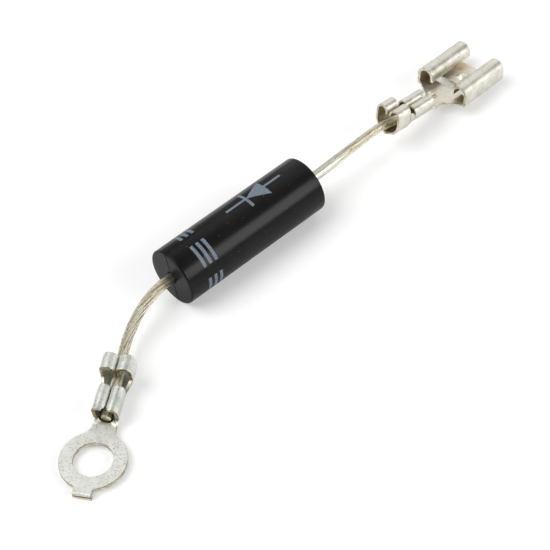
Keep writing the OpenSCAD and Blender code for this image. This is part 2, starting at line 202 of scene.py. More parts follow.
def lead_route(side, holds, crimp, neck_seat, shift, stub):
    """Points along a lead from its slug to the end of its strands, each with its squeeze in the crimp. The
    side is -1 for the cathode and 1 for the anode, and the holds say how firmly the lead keeps the body's
    direction and the crimp's. It enters the crimp shifted sideways, and its stub passes the wire barrel."""
    in_body, in_air, in_crimp = 12, 72, 6
    seat = neck_seat @ crimp_tilt(crimp)
    z = strand_height(crimp)
    wire = crimp["turn"]
    web = wire + crimp["wire"]
    grip = web + crimp["web"]
    pressed = crimped_d / lead_d
    tail = [(seat @ Vector((x, y, z)), squeeze) for x, y, squeeze in (
        (grip + crimp["grip"], shift, 1), (grip, 0, 1), (web, 0, pressed), (wire, 0, pressed),
        (wire - stub, 0, pressed))]
    start = body_middle + Vector((side * slug_floor, 0, 0))
    leave = body_middle + Vector((side * body_half, 0, 0))
    leaving = leave + Vector((side * holds[0], 0, 0))
    enter = tail[0][0]
    entering = enter - (tail[1][0] - enter).normalized() * holds[1]
    route = [(start.lerp(leave, i / in_body), 1) for i in range(in_body)]
    for k in (i / in_air for i in range(in_air)):
        route.append(((1 - k) ** 3 * leave + 3 * (1 - k) ** 2 * k * leaving + 3 * (1 - k) * k * k * entering
                      + k ** 3 * enter, 1))
    for (a, squeeze_a), (b, squeeze_b) in zip(tail, tail[1:]):
        for k in (i / in_crimp for i in range(in_crimp)):
            route.append((a.lerp(b, k), squeeze_a + (squeeze_b - squeeze_a) * k))
    return route + [tail[-1]]


def node_group(name, result, **inputs):
    """A tree of geometry nodes with named inputs of some kinds and one result, and what its inputs give."""
    tree = bpy.data.node_groups.new(name, "GeometryNodeTree")
    for title, kind in inputs.items():
        tree.interface.new_socket(title.replace("_", " "), in_out="INPUT", socket_type="NodeSocket" + kind)
    tree.interface.new_socket(result, in_out="OUTPUT", socket_type="NodeSocketGeometry")
    return tree, put(tree, "GroupInput").outputs


# One layer of strands laid round a path: each strand is a copy of the path, set off to the layer's
# radius and turned along the lay, with a little slack of its own. Neighbours are drawn together in
# bunches, whose outer strands lie a little deeper, so that grooves show between the bunches.
drawn_in, sunk_in = 0.2, 0.1
slack_waves = 0.35
twist, given = node_group("strands_round_a_path", "Lead", Path="Geometry", Strands="Int", Bunch="Int",
                          Strand_Diameter="Float", Layer_Radius="Float", Lay_Length="Float", Slack="Float",
                          Seed="Int", Metal="Material")
path = put(twist, "MeshToCurve", {"Mesh": given["Path"]})
copies = put(twist, "DuplicateElements", {"Geometry": path, "Amount": given["Strands"]}, domain="SPLINE")
strand_no = copies.outputs["Duplicate Index"]
at = put(twist, "SplineParameter").outputs["Length"]
turns = put(twist, "Math", {0: at, 1: given["Lay Length"]}, operation="DIVIDE")
half_bunch = put(twist, "Math", {0: given["Bunch"], 1: 0.5, 2: -0.5}, operation="MULTIPLY_ADD")
in_bunch = put(twist, "Math", {0: strand_no, 1: given["Bunch"]}, operation="MODULO")
off_middle = put(twist, "Math", {0: in_bunch, 1: half_bunch}, operation="SUBTRACT")
gathered = put(twist, "Math", {0: off_middle, 1: -drawn_in, 2: strand_no}, operation="MULTIPLY_ADD")
share = put(twist, "Math", {0: gathered, 1: given["Strands"]}, operation="DIVIDE")
shares = put(twist, "Math", {0: turns, 1: share}, operation="ADD")
angle = put(twist, "Math", {0: shares, 1: math.tau}, operation="MULTIPLY")
own = put(twist, "RandomValue", {2: 0.0, 3: 100.0, "ID": strand_no, "Seed": given["Seed"]},
          data_type="FLOAT")
along = put(twist, "Math", {0: at, 1: slack_waves / MM}, operation="MULTIPLY")
walk = put(twist, "CombineXYZ", {"X": along, "Y": own.outputs[1]})
sway = put(twist, "TexNoise", {"Vector": walk, "Scale": 1.0, "Detail": 0.0})
swing = put(twist, "Math", {0: sway, 1: -0.5}, operation="ADD")
slack = put(twist, "Math", {0: swing, 1: given["Slack"], 2: angle}, operation="MULTIPLY_ADD")
cosine = put(twist, "Math", {0: slack}, operation="COSINE")
sine = put(twist, "Math", {0: slack}, operation="SINE")
normal = put(twist, "InputNormal")
ahead = put(twist, "InputTangent")
across = put(twist, "VectorMath", {0: ahead, 1: normal}, operation="CROSS_PRODUCT")
outward = put(twist, "VectorMath", {0: normal, "Scale": cosine}, operation="SCALE")
sideways = put(twist, "VectorMath", {0: across, "Scale": sine}, operation="SCALE")
out = put(twist, "VectorMath", {0: outward, 1: sideways}, operation="ADD")
squeeze = put(twist, "InputNamedAttribute", {"Name": "squeeze"}, data_type="FLOAT")
far = put(twist, "Math", {0: off_middle, 1: 2.0}, operation="POWER")
sunk = put(twist, "Math", {0: far, 1: -sunk_in, 2: 1.0}, operation="MULTIPLY_ADD")
sunk_layer = put(twist, "Math", {0: sunk, 1: given["Layer Radius"]}, operation="MULTIPLY")
layer = put(twist, "Math", {0: squeeze, 1: sunk_layer}, operation="MULTIPLY")
offset = put(twist, "VectorMath", {0: out, "Scale": layer}, operation="SCALE")
tone = put(twist, "RandomValue", {2: 0.0, 3: 1.0, "ID": strand_no, "Seed": given["Seed"]},
           data_type="FLOAT")
toned = put(twist, "StoreNamedAttribute", {"Geometry": copies, "Name": "strand_tone",
            "Value": tone.outputs[1]}, data_type="FLOAT", domain="CURVE")
laid = put(twist, "SetPosition", {"Geometry": toned, "Offset": offset})
radius = put(twist, "Math", {0: given["Strand Diameter"], 1: 0.5}, operation="MULTIPLY")
round_wire = put(twist, "CurvePrimitiveCircle", {"Resolution": 8, "Radius": radius}, mode="RADIUS")
wires = put(twist, "CurveToMesh", {"Curve": laid, "Profile Curve": round_wire, "Fill Caps": True})
real = put(twist, "RealizeInstances", {"Geometry": wires})
metal = put(twist, "SetMaterial", {"Geometry": real, "Material": given["Metal"]})
put(twist, "GroupOutput", {"Lead": metal})


def grown(tree, base, **inputs):
    """The plain mesh that a tree of nodes makes from a base mesh."""
    holder = in_scene("base", base)
    modifier = holder.modifiers.new("nodes", "NODES")
    modifier.node_group = tree
    sockets = {s.name: s.identifier for s in tree.interface.items_tree if s.in_out == "INPUT"}
    for name, value in inputs.items():
        modifier[sockets[name.replace("_", " ")]] = value
    graph = bpy.context.evaluated_depsgraph_get()
    mesh = bpy.data.meshes.new_from_object(holder.evaluated_get(graph), preserve_all_data_layers=True,
                                           depsgraph=graph)
    bpy.data.objects.remove(holder)
    return mesh


def path_mesh(route):
    """A route as a line of vertices and edges in metres, with the squeeze at each of them."""
    mesh = bpy.data.meshes.new("path")
    mesh.from_pydata([p * MM for p, _ in route], [(i, i + 1) for i in range(len(route) - 1)], [])
    squeezes = mesh.attributes.new("squeeze", "FLOAT", "POINT")
    squeezes.data.foreach_set("value", [s for _, s in route])
    return mesh


def mesh_from(name, shape, *materials):
    """A plain mesh with some materials from a closed shape, its faces turned outward."""
    bmesh.ops.recalc_face_normals(shape, faces=shape.faces)
    mesh = bpy.data.meshes.new(name)
    shape.to_mesh(mesh)
    shape.free()
    for material in materials:
        mesh.materials.append(material)
    return mesh


def tinted(tree, colour, value, start, full, most, tint):
    """A colour that takes up to a share of a tint, as a value goes from its start to its full place."""
    share = put(tree, "MapRange", {"Value": value, "From Min": start, "From Max": full, "To Max": most})
    mix = put(tree, "Mix", {"Factor": share, 6: colour, 7: linear(tint)}, data_type="RGBA")
    return mix.outputs[2]


def piece_of(name, meshes, slot, *nodes, sharp=40):
    """One object from some meshes, which stands for the named solids and rides with the part. Its edges are
    shaded smooth up to the sharp angle, in degrees."""
    shape = bmesh.new()
    materials = []
    for mesh in meshes:
        first = len(shape.faces)
        shape.from_mesh(mesh)
        shape.faces.ensure_lookup_table()
        places = []
        for material in mesh.materials:
            if material not in materials:
                materials.append(material)
            places.append(materials.index(material))
        for face in shape.faces[first:]:
            face.material_index = places[face.material_index]
            face.smooth = True
    whole = bpy.data.meshes.new(name)
    shape.to_mesh(whole)
    shape.free()
    for material in materials:
        whole.materials.append(material)
    whole.set_sharp_from_angle(angle=math.radians(sharp))
    piece = in_scene(name, whole)
    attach(piece, "root")
    if nodes:
        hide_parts(*nodes)


# Tinned copper wire: bright warm silver, each strand a little lighter or darker than the next,
# with straw-coloured stretches of about 1.2 mm where the tin is thin, and dark pits of about 0.25 mm.
# For the first 2 mm out of the body's cathode end the strands are painted dark, as painted reflection of
# the black end face and painted shade by it.
strand_metal, tree, shader, place = new_material("tinned_copper_strand", Metallic=1.0, Roughness=0.42)
tones = put(tree, "Attribute", attribute_name="strand_tone").outputs["Fac"]
thin = put(tree, "TexNoise", {"Vector": place, "Scale": 1 / (1.2 * MM), "Detail": 3.0})
blend = put(tree, "Mix", {"Factor": 0.45, 2: thin, 3: tones}, data_type="FLOAT")
tinning = put(tree, "ValToRGB", {"Fac": blend},
              ((0.25, "#c6bc9c"), (0.42, "#f2ecd9"), (0.6, "#faf7ea"), (0.75, "#ebddb0")))
pits = put(tree, "TexNoise", {"Vector": place, "Scale": 1 / (0.25 * MM), "Detail": 2.0})
pitted = tinted(tree, tinning, pits, 0.56, 0.68, 0.55, "#7d745e")
# Painted reflection and shade: the strands darken towards the cathode end face.
cathode_end = body_middle - Vector((body_half, 0, 0))
from_end = put(tree, "VectorMath", {0: place, 1: cathode_end * MM}, operation="DISTANCE")
end_face_mirror_shade = tinted(tree, pitted, from_end.outputs["Value"], 2.0 * MM, 0.8 * MM, 0.72, "#34322b")
plug(shader, {"Base Color": end_face_mirror_shade})

# Solder that has run between the strands: the same silver, smooth, clouded over patches of about 1.5 mm.
dipped = clouded("solder_dipped_strands", 1.5, 4.0, (0.3, "#cdc6b3"), (0.5, "#ddd8cb"), (0.7, "#e8e5db"),
                 Metallic=1.0, Roughness=0.42)

# Cut strand ends: bare copper that has dulled to tan, in grains as wide as a strand.
cut_ends, tree, shader, place = new_material("cut_copper_strands", Metallic=1.0, Roughness=0.4)
ends = put(tree, "TexVoronoi", {"Vector": place, "Scale": 1 / (0.22 * MM)})
dulled = put(tree, "ValToRGB", {"Fac": ends}, ((0.2, "#dccba8"), (0.6, "#a28d66")))
plug(shader, {"Base Color": dulled})

# A layer of strands: their count, the strands in a bunch, a strand's diameter and the layer's radius.
cathode_layer, anode_layer = (15, 1, 0.21, 0.565), (18, 3, 0.2, 0.57)
inner_layers = ((10, 1, 0.2, 0.37), (5, 1, 0.2, 0.18))
cathode_lay, anode_lay = 24, 160


def lead_strands(route, outer_layer, lay, slack, seed):
    """The layers of strands of a lead along a route, with the length of a full turn of theirs."""
    return [grown(twist, path_mesh(route), Strands=count, Bunch=bunch, Strand_Diameter=diameter * MM,
                  Layer_Radius=radius * MM, Lay_Length=lay * MM, Slack=slack, Seed=seed + i,
                  Metal=strand_metal)
            for i, (count, bunch, diameter, radius) in enumerate((outer_layer,) + inner_layers)]


def band(shape, this, following):
    """The faces between two closed loops with the same number of points."""
    count = len(this)
    return [shape.faces.new((this[i], this[(i + 1) % count], following[(i + 1) % count], following[i]))
            for i in range(count)]


def tube(points, radii, sides, material):
    """A closed round tube through points, with a radius at each, in a mesh of its own."""
    shape = bmesh.new()
    rings = []
    for i, (point, radius) in enumerate(zip(points, radii)):
        ahead = (points[min(i + 1, len(points) - 1)] - points[max(i - 1, 0)]).normalized()
        side = Vector((0, 0, 1)).cross(ahead).normalized()
        up = ahead.cross(side)
        rings.append([shape.verts.new((point + radius * (math.cos(a) * side + math.sin(a) * up)) * MM)
                      for a in (math.tau * j / sides for j in range(sides))])
    for a, b in zip(rings, rings[1:]):
        band(shape, a, b)
    shape.faces.new(rings[0][::-1])
    shape.faces.new(rings[-1])
    return mesh_from("tube", shape, material)


cathode_route = lead_route(-1, (1.5, 8.5), ring_crimp, ring_neck_seat, 0.2, 0.0)
cut_places, cut_radii = (-0.1, 0.03, 0.09, 0.12), (0.5, 0.56, 0.48, 0.3)
last, end = cathode_route[-2][0], cathode_route[-1][0]
cut_end = tube([end + (end - last).normalized() * x for x in cut_places], cut_radii, 16, cut_ends)
cathode_strands = lead_strands(cathode_route, cathode_layer, cathode_lay, 0.5, 3)
piece_of("cathode_lead_strands", cathode_strands + [cut_end], "tinned_strand", "cathode_lead")

anode_route = lead_route(1, (5.9, 1.7), tab_crimp, tab_neck_seat, -0.35, 0.6)
dip_l, dip_taper = 7.5, 3
dip_r, dip_tip_r = 0.635, 0.5
dip = [p for p, _ in anode_route if p.x < body_middle.x + body_half + dip_l]
dip_radii = [min(dip_r, dip_tip_r + (dip_r - dip_tip_r) * (dip[-1].x - p.x) / dip_taper) for p in dip]
stray_start, stray_end = Vector((-1.9, -0.5, 1.32)), Vector((0.42, -0.56, 1.5))
stray = [tab_seat @ stray_start.lerp(stray_end, i / 4) for i in range(5)]
stray_radii = (0.26, 0.26, 0.26, 0.26, 0.22)
anode_strands = lead_strands(anode_route, anode_layer, anode_lay, 0.25, 11)
anode_strands += [tube(dip, dip_radii, 32, dipped), tube(stray, stray_radii, 12, cut_ends)]
piece_of("anode_lead_strands", anode_strands, "tinned_strand", "anode_lead")

# Body
# A cylinder of black epoxy moulding compound, transfer moulded round the stack in two halves.
# Its rims are crisp, and the parting line of the halves crosses both end faces at a slant.
body_r = 3.75
rim_r = 0.2
bore_r = lead_d / 2 + fit
flare_l, flare_r = 0.2, 0.13
slug_x, slug_r = 5.64, 1.42
stack_x, stack_r = 2.84, 2.12
parting_slant = math.radians(12)

# Half of the body's section, with rings that keep the end face and the side flat beside the rounded rim.
end_rings, side_ring = (1.6, 2.8), 6
rim = [(body_half - rim_r + rim_r * math.cos(a), body_r - rim_r + rim_r * math.sin(a))
       for a in (math.pi / 2 * i / 6 for i in range(7))]
cavity = [(slug_x, bore_r), (slug_x, slug_r), (stack_x, slug_r), (stack_x, stack_r)]
half_profile = [(body_half - flare_l, bore_r), (body_half, bore_r + flare_r)]
half_profile += [(body_half, r) for r in end_rings] + rim
profile = half_profile + [(side_ring, body_r), (-side_ring, body_r)]
profile += [(-x, r) for x, r in half_profile[::-1] + cavity] + cavity[::-1]
shape = bmesh.new()
steps = 160
rings = [[shape.verts.new((body_middle + Vector((x, r * math.sin(a), r * math.cos(a)))) * MM)
          for x, r in profile] for a in (math.tau * i / steps for i in range(steps))]
for this, following in zip(rings, rings[1:] + rings[:1]):
    band(shape, this, following)

# Epoxy moulding compound: near black with a satin skin, fine flow ripple about 0.4 mm across, and stray tan
# filler grains about 0.1 mm wide, drawn coarser than real ones, which would not show. One half of the mould
# left a slightly duller skin, the ends are duller than the side, and the parting line is a shallow groove.
epoxy, tree, shader, place = new_material("black_epoxy_moulding_compound", IOR=1.55)
grain = put(tree, "TexVoronoi", {"Vector": place, "Scale": 1 / (0.4 * MM)})
lone = put(tree, "MapRange", {"Value": grain, "From Min": 0.13, "From Max": 0.07})
drawn = put(tree, "SeparateColor", {"Color": grain.outputs["Color"]})
few = put(tree, "MapRange", {"Value": drawn, "From Min": 0.7, "From Max": 0.92})
speck = put(tree, "Math", {0: lone, 1: few}, operation="MULTIPLY")
shade = put(tree, "TexNoise", {"Vector": place, "Scale": 1 / (2.5 * MM), "Detail": 4.0})
black = put(tree, "ValToRGB", {"Fac": shade}, ((0.3, "#121314"), (0.7, "#191919")))
specked = put(tree, "Mix", {"Factor": speck, 6: black, 7: linear("#766a58")}, data_type="RGBA")
from_axis = put(tree, "Mapping", {"Vector": place, "Location": -body_middle * MM}, vector_type="POINT")
halves = put(tree, "VectorRotate", {"Vector": from_axis, "Angle": parting_slant}, rotation_type="X_AXIS")
apart = put(tree, "SeparateXYZ", {0: halves}).outputs
off_line = put(tree, "Math", {0: apart["Y"]}, operation="ABSOLUTE")
on_line = put(tree, "MapRange", {"Value": off_line, "From Min": 0.13 * MM, "From Max": 0.05 * MM})
off_middle = put(tree, "Math", {0: apart["X"]}, operation="ABSOLUTE")
on_end = put(tree, "MapRange", {"Value": off_middle, "From Min": (body_half - rim_r) * MM,
             "From Max": (body_half - 0.05) * MM})
line = put(tree, "Math", {0: on_line, 1: on_end}, operation="MULTIPLY")
skin = put(tree, "MapRange", {"Value": apart["Y"], "From Min": -0.05 * MM, "From Max": 0.05 * MM,
           "To Min": 0.135, "To Max": 0.16})
matt_end = put(tree, "Math", {0: on_end, 1: -0.045, 2: skin}, operation="MULTIPLY_ADD")
dull = put(tree, "Math", {0: line, 1: -0.1, 2: matt_end}, operation="MULTIPLY_ADD")
ripple = put(tree, "TexNoise", {"Vector": place, "Scale": 1 / (0.4 * MM), "Detail": 5.0})
dented = put(tree, "Math", {0: line, 1: -1.5, 2: ripple}, operation="MULTIPLY_ADD")
bump = put(tree, "Bump", {"Height": dented, "Strength": 0.12, "Distance": 0.05 * MM})
gloss = put(tree, "MapRange", {"Value": shade, "To Min": 0.19, "To Max": 0.31})
plug(shader, {"Base Color": specked.outputs[2], "Specular IOR Level": dull, "Normal": bump,
              "Roughness": gloss})
piece_of("epoxy_moulding", [mesh_from("body", shape, epoxy)], "epoxy", "epoxy_body")

# Print
# Grey ink, pad printed on the body: groups of three bars all round its cathode end, and a plain
# diode sign along it, with the sign's bar towards the bars.
ink_proud = 0.006
ink_t = 0.03
bars_x = -8.03

# Thin bars bent round a cylinder, in rows along it that repeat round it.
stripe, given = node_group("bars_round_a_cylinder", "Print", Base="Geometry", Bar_Width="Float",
                           Bar_Length="Float", Ink="Float", Radius="Float", Bars="Int", Spacing="Float",
                           Groups="Int", First_Angle="Float", Axis="Vector", Paint="Material")
bar_size = put(stripe, "CombineXYZ", {"X": given["Bar Width"], "Y": given["Bar Length"], "Z": given["Ink"]})
bar = put(stripe, "MeshCube", {"Size": bar_size, "Vertices X": 2, "Vertices Y": 25, "Vertices Z": 2})
at = put(stripe, "SeparateXYZ", {0: put(stripe, "InputPosition")}).outputs
bent = put(stripe, "Math", {0: at["Y"], 1: given["Radius"]}, operation="DIVIDE")
out = put(stripe, "Math", {0: at["Z"], 1: given["Radius"]}, operation="ADD")
sine = put(stripe, "Math", {0: bent}, operation="SINE")
cosine = put(stripe, "Math", {0: bent}, operation="COSINE")
bent_y = put(stripe, "Math", {0: sine, 1: out}, operation="MULTIPLY")
bent_z = put(stripe, "Math", {0: cosine, 1: out}, operation="MULTIPLY")
wrap = put(stripe, "CombineXYZ", {"X": at["X"], "Y": bent_y, "Z": bent_z})
wrapped = put(stripe, "SetPosition", {"Geometry": bar, "Position": wrap})
step = put(stripe, "CombineXYZ", {"X": given["Spacing"]})
row = put(stripe, "MeshLine", {"Count": given["Bars"], "Offset": step})
in_row = put(stripe, "InstanceOnPoints", {"Points": row, "Instance": wrapped})
group = put(stripe, "RealizeInstances", {"Geometry": in_row})
ring_of = put(stripe, "MeshLine", {"Count": given["Groups"], "Offset": (0, 0, 0)})
sector = put(stripe, "Math", {0: math.tau, 1: given["Groups"]}, operation="DIVIDE")
index = put(stripe, "InputIndex")
round_angle = put(stripe, "Math", {0: index, 1: sector, 2: given["First Angle"]}, operation="MULTIPLY_ADD")
turn = put(stripe, "CombineXYZ", {"X": round_angle})
groups = put(stripe, "InstanceOnPoints", {"Points": ring_of, "Instance": group, "Rotation": turn})
real = put(stripe, "RealizeInstances", {"Geometry": groups})
moved = put(stripe, "Transform", {"Geometry": real, "Translation": given["Axis"]})
inked = put(stripe, "SetMaterial", {"Geometry": moved, "Material": given["Paint"]})
put(stripe, "GroupOutput", {"Print": inked})

# Printing ink: blue grey and matt, a little thin in patches of about 0.15 mm, where the black shows through.
ink = clouded("grey_printing_ink", 0.15, 3.0, (0.28, "#434b54"), (0.45, "#6c7884"), (0.7, "#788490"),
              Roughness=0.6, IOR=1.5)

bars = grown(stripe, bpy.data.meshes.new("bars"), Bar_Width=0.44 * MM, Bar_Length=3.1 * MM, Ink=ink_t * MM,
             Radius=(body_r + ink_proud - ink_t / 2) * MM, Bars=3, Spacing=0.87 * MM, Groups=5,
             First_Angle=math.radians(32.6), Axis=(body_middle + Vector((bars_x, 0, 0))) * MM, Paint=ink)


def slice_at(shape, place, direction):
    """Divides the faces of a shape where a plane crosses them."""
    everything = shape.verts[:] + shape.edges[:] + shape.faces[:]
    bmesh.ops.bisect_plane(shape, geom=everything, plane_co=place, plane_no=direction)


def ink_patch(outline):
    """A closed patch of ink on the body: corners in mm along the axis from its middle and round the body from
    its top. It is sliced into narrow strips, so that it can bend."""
    strip = 0.1
    shape = bmesh.new()
    shape.faces.new([shape.verts.new((x, s, 0)) for x, s in outline])
    extent = [s for _, s in outline]
    cut = min(extent) + strip
    while cut < max(extent):
        slice_at(shape, (0, cut, 0), (0, 1, 0))
        cut += strip
    for part in bmesh.ops.extrude_face_region(shape, geom=shape.faces[:])["geom"]:
        if isinstance(part, bmesh.types.BMVert):
            part.co.z = 1
    for vert in shape.verts:
        out = body_r + ink_proud - (0 if vert.co.z else ink_t)
        a = vert.co.y / body_r
        vert.co = (body_middle + Vector((vert.co.x, -out * math.sin(a), out * math.cos(a)))) * MM
    return mesh_from("patch", shape, ink)


# The sign's line, bar, arrow and line again, each from an x and a half width to an x and a half width.
sign_s = -0.55
sign = [ink_patch([(x, s + sign_s) for x, s in ((x0, -half0), (x1, -half1), (x1, half1), (x0, half0))])
        for x0, half0, x1, half1 in ((-1.4, 0.17, 1.55, 0.17), (1.55, 1.5, 1.95, 1.5),
                                     (1.95, 0.05, 4.75, 1.5), (4.75, 0.17, 7.4, 0.17))]
piece_of("polarity_print", [bars] + sign, "epoxy")

# Ring terminal
# Stamped from tinned brass sheet, 0.55 mm thick: a ring for a screw, a lug set down at its tip, a
# short neck, and a wire barrel and an insulation barrel that are crimped closed on the lead.
sheet_t = ring_crimp["sheet"]
edge_round = 0.06
burnish = 0.3


def eased_mesh(name, shape, materials):
    """A plain mesh from a closed shape, its sharp edges rounded a little, as tumbling leaves them. The rounds
    take the third material, that of a burnished edge, which on the ring terminal is painted dark as
    reflection."""
    bmesh.ops.recalc_face_normals(shape, faces=shape.faces)
    sharp = [e for e in shape.edges if len(e.link_faces) == 2 and e.calc_face_angle() > math.radians(50)]
    bmesh.ops.bevel(shape, geom=sharp, offset=edge_round * MM, offset_type="OFFSET", segments=2, profile=0.5,
                    affect="EDGES", clamp_overlap=True, material=2)
    return mesh_from(name, shape, *materials)


def sheet_piece(outer, inner, materials, present=lambda i, j: True, inside=lambda i, j: 0, flank=1):
    """A bent sheet: its two faces as grids of points, and the cells that are there. Its cut ends take
    the second material, and their band that the punch burnished, next to the inner face, the third. The
    inner face of a cell and the cuts along the sheet take the materials that are named for them."""
    shape = bmesh.new()
    rows, columns = len(outer) - 1, len(outer[0]) - 1
    kept = {(i, j) for i in range(rows) for j in range(columns) if present(i, j)}
    made = {}

    def corner(depth, i, j):
        if (depth, i, j) not in made:
            made[depth, i, j] = shape.verts.new(inner[i][j].lerp(outer[i][j], depth) * MM)
        return made[depth, i, j]

    for i, j in sorted(kept):
        cell = ((i, j), (i + 1, j), (i + 1, j + 1), (i, j + 1))
        shape.faces.new([corner(1, *c) for c in cell])
        shape.faces.new([corner(0, *c) for c in cell[::-1]]).material_index = inside(i, j)
        for a, b, beyond in ((0, 1, (i, j - 1)), (1, 2, (i + 1, j)), (2, 3, (i, j + 1)), (3, 0, (i - 1, j))):
            if beyond not in kept:
                for low, high, kind in ((1, burnish, 1), (burnish, 0, 2)):
                    wall = shape.faces.new((corner(low, *cell[b]), corner(low, *cell[a]),
                                            corner(high, *cell[a]), corner(high, *cell[b])))
                    wall.material_index = kind if beyond[0] == i else flank
    return eased_mesh("sheet", shape, materials)


def arc(middle, radius, start, end, steps):
    """Points of an arc with the directions away from its middle, its start left out."""
    return [((middle[0] + radius * math.cos(a), middle[1] + radius * math.sin(a)), (math.cos(a), math.sin(a)))
            for a in (math.radians(start + (end - start) * (i + 1) / steps) for i in range(steps))]


def straight(start, end, out, steps):
    """Points of a straight line with the given direction out of it, its start left out."""
    return [((start[0] + (end[0] - start[0]) * k, start[1] + (end[1] - start[1]) * k), out)
            for k in ((i + 1) / steps for i in range(steps))]


def mirrored(path):
    """The points and directions of a section's path on its other side, in reverse."""
    return [((-y, z), (-ny, nz)) for (y, z), (ny, nz) in path[::-1]]


curl_steps, wall_steps, trough_steps = 16, 2, 24
trough_first = curl_steps + 2 * wall_steps


def barrel_path(w, t, gap, edge_l, edge_z):
    """Middle line of a closed barrel's section from one wing's tip to the other's, with its outer direction:
    round the curl, down the wall, round the trough and back up on the other side. The wings' tips lie at a
    height, with straight ends of a length over them."""
    curl_r = (w - gap) / 4
    curl_y = w / 2 - curl_r
    curl_z = max(edge_z + t / 2 + edge_l, w / 2 + t / 10)
    tip_y, tip_z = gap / 2 + t / 2, edge_z + t / 10
    wall_y = w / 2 - t / 2
    left = [((-tip_y, tip_z), (1, 0))]
    left += straight((-tip_y, tip_z), (-tip_y, curl_z), (1, 0), wall_steps)
    left += arc((-curl_y, curl_z), curl_r - t / 2, 0, 180, curl_steps)
    left += straight((-wall_y, curl_z), (-wall_y, w / 2), (-1, 0), wall_steps)
    trough = arc((0, w / 2), wall_y, 180, 360, trough_steps)
    return left + trough[:-1] + mirrored(left)


def trough_path(r, t, half_angle):
    """Middle line of an open trough of outer radius r standing on its underside, between two angles from its
    lowest line."""
    return [(((r - t / 2) * math.sin(a), r - (r - t / 2) * math.cos(a)), (math.sin(a), -math.cos(a)))
            for a in (math.radians(half_angle * (2 * i / trough_steps - 1)) for i in range(trough_steps + 1))]


def ease(share):
    """A share held between 0 and 1, with a soft start and end."""
    k = min(1, max(0, share))
    return k * k * (3 - 2 * k)


def neck_turn(crimp, x, u, off):
    """A point of the neck's turn into the wire barrel's trough: x on from the end of the flat neck, u across
    the neck and off from the middle of the sheet, which thins a little where it lies in the trough."""
    thinned, least_bow = 0.02, 1e-4
    eased = ease((x / crimp["turn"] - crimp["flat"]) / (1 - crimp["flat"]))
    bow = max(least_bow, eased / (crimp["wire_w"] / 2 - crimp["sheet"] / 2))
    out = 1 / bow - off * (1 - thinned * eased)
    z = crimp["sheet"] / 2 - eased * crimp["drop"] + 1 / bow - out * math.cos(u * bow)
    return crimp_tilt(crimp, eased) @ Vector((x, out * math.sin(u * bow), z))


def crimped_barrels(crimp, seat, materials, flank, lining, seed):
    """The sheet of a closed crimp: the two barrels with the web between them. Pressing thins the sheet
    from the inside, and the corners of the wire barrel's wings are trimmed at its mouth. The cuts along the
    sheet and its inner face take the materials of those places."""
    t = crimp["sheet"]
    pressed_share = 0.78
    wire_gap = 0.09
    trimmed = (6, 4, 2)
    dent_h, dents_along, dents_round = 0.035, 0.8, 0.7
    wire_steps, web_steps, grip_steps = 10, 12, 8
    web_x = crimp["turn"] + crimp["wire"]
    grip_x = web_x + crimp["web"]
    wire_z = -crimp["drop"]
    grip_z = wire_z - crimp["grip_drop"]
    grip_edge_z = strand_height(crimp) - grip_z + lead_d / 2 + crimp["grip_room"]
    wire = barrel_path(crimp["wire_w"], t, wire_gap, crimp["wire_edge"], t + 2 * fit + crimped_d)
    grip = barrel_path(crimp["grip_w"], t, crimp["grip_gap"], crimp["grip_edge"], grip_edge_z)
    wire_r, grip_r = crimp["wire_w"] / 2 - t / 2, crimp["grip_w"] / 2 - t / 2
    whole = seat @ crimp_tilt(crimp)
    stations = ([(crimp["turn"] + crimp["wire"] * i / wire_steps, "wire") for i in range(wire_steps)]
                + [(web_x + crimp["web"] * i / web_steps, "web") for i in range(web_steps)]
                + [(grip_x + crimp["grip"] * i / grip_steps, "grip") for i in range(grip_steps + 1)])
    outer, inner = [[] for _ in wire], [[] for _ in wire]
    for x, part in stations:
        path, z0 = (grip, grip_z) if part == "grip" else (wire, wire_z)
        if part == "web":
            k = (x - web_x) / crimp["web"]
            z0 = wire_z - ease(k) * crimp["grip_drop"]
            r = 1 / (1 / wire_r * (1 - k) + 1 / grip_r * k) + t / 2
            trough = trough_path(r, t, 90 + crimp["crest"] * 4 * k * (1 - k))
            path = path[:trough_first] + trough + path[trough_first + len(trough):]
        for i, ((y, z), (ny, nz)) in enumerate(path):
            dent = dent_h * noise.noise(Vector((x * dents_along + seed, y * dents_round, z * dents_round)))
            for side, rows in ((0.5, outer), (0.5 - pressed_share, inner)):
                out = t * side + dent
                rows[i].append(whole @ Vector((x, y + ny * out, z0 + z + nz * out)))

    def pressed(i, j):
        """The cells of the two barrels and of the web's trough that the stamp left."""
        if j < len(trimmed):
            return trimmed[j] <= i <= len(wire) - 2 - trimmed[j]
        in_web = wire_steps <= j < wire_steps + web_steps
        return not in_web or trough_first <= i < trough_first + trough_steps

    return sheet_piece(outer, inner, materials, pressed, lambda i, j: lining, flank)


def plated(name, patch, steps, matt, dent):
    """A tinned sheet whose bloom clouds over patches of a size in mm, with the range of its roughness and the
    strength of its dents. The caller works on its colour and gives it to its shader."""
    material, tree, shader, place = new_material(name, Metallic=1.0)
    bloom = put(tree, "TexNoise", {"Vector": place, "Scale": 1 / (patch * MM), "Detail": 5.0})
    silver = put(tree, "ValToRGB", {"Fac": bloom}, steps)
    rough = put(tree, "MapRange", {"Value": bloom, "From Min": 0.3, "From Max": 0.7,
                "To Min": matt[0], "To Max": matt[1]})
    bump = put(tree, "Bump", {"Height": bloom, "Strength": dent, "Distance": 0.06 * MM})
    plug(shader, {"Roughness": rough, "Normal": bump})
    return material, tree, shader, place, bloom, silver, rough


